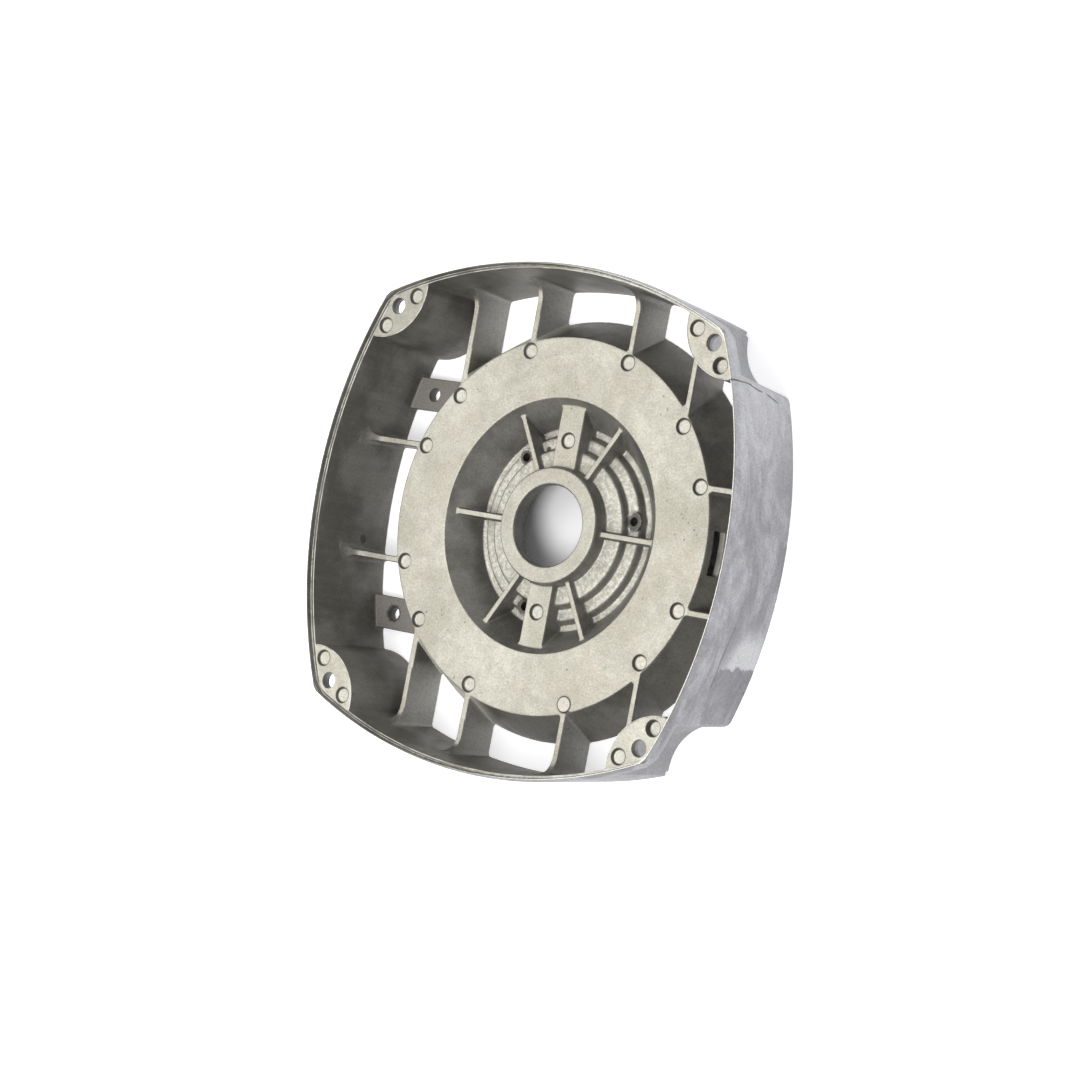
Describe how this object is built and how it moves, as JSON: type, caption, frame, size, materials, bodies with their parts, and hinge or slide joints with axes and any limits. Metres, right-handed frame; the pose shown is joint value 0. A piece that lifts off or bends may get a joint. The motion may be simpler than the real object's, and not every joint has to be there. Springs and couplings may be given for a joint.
{
  "type": "motor end shield",
  "caption": "Die-cast aluminium motor end shield: rounded-square skirt, ribbed air passages, ring face, dished web with a bearing hub and drilled corner pads.",
  "frame": {"origin": "on the bearing axis, at the level of the rear edge that the casting lies on", "axes": "+Z along the bearing axis towards the stator side, +Y towards one pair of ribbed sides, +X towards the side with the wire slot, away from the two lugs"},
  "size_m": [0.328, 0.328, 0.074],
  "materials": {
    "cast_aluminium": "as cast"
  },
  "bodies": {
    "root": {"end_shield": "cast_aluminium"}
  },
  "joints": []
}
